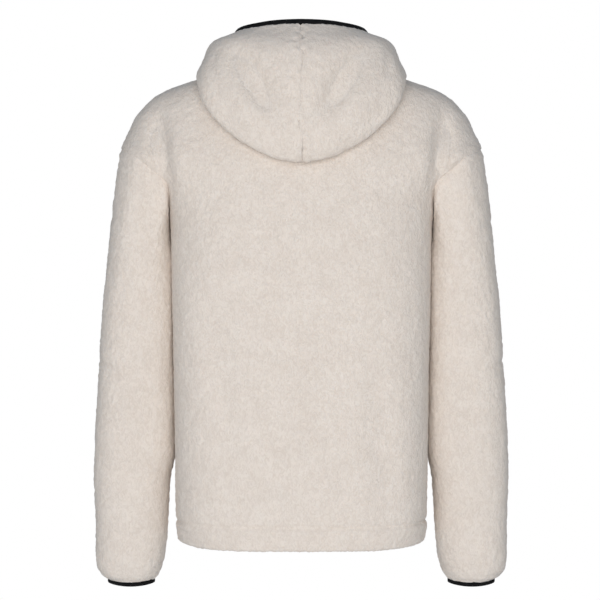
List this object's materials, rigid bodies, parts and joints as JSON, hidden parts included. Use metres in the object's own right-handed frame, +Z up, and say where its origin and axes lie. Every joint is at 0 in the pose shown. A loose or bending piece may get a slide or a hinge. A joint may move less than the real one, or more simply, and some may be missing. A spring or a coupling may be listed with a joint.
{
  "type": "fleece zip-up hoodie",
  "caption": "Teddy-fleece hoodie with a full front zip, in its worn shape with the hood down, elastic binding at the hood's rim and the cuffs.",
  "frame": {"origin": "middle of the neck base, where the garment hangs on the wearer's shoulders", "axes": "+Z up, -Y towards the wearer's front, +X towards the wearer's left"},
  "size_m": [0.6038, 0.2754, 0.8149],
  "materials": {
    "fleece": "matte, short curly pile",
    "elastic": "matte knitted elastic",
    "zip_tape": "matte woven tape",
    "zip_metal": "satin"
  },
  "bodies": {
    "garment": {"back": "fleece", "front_left": "fleece", "front_right": "fleece", "sleeve_left": "fleece", "sleeve_right": "fleece", "hood_left": "fleece", "hood_right": "fleece", "hood_binding": "elastic", "cuff_binding_left": "elastic", "cuff_binding_right": "elastic", "zip_tape_left": "zip_tape", "zip_tape_right": "zip_tape", "zip_slider": "zip_metal", "zip_box": "zip_metal"},
    "pull_tab": {"zip_pull": "zip_metal"}
  },
  "joints": [
    {"name": "pull_tab_swing", "type": "hinge", "parent": "garment", "child": "pull_tab", "pos_m": [0, -0.09009, -0.09657], "axis": [-1, 0, 0], "range_deg": [0, 160]}
  ]
}
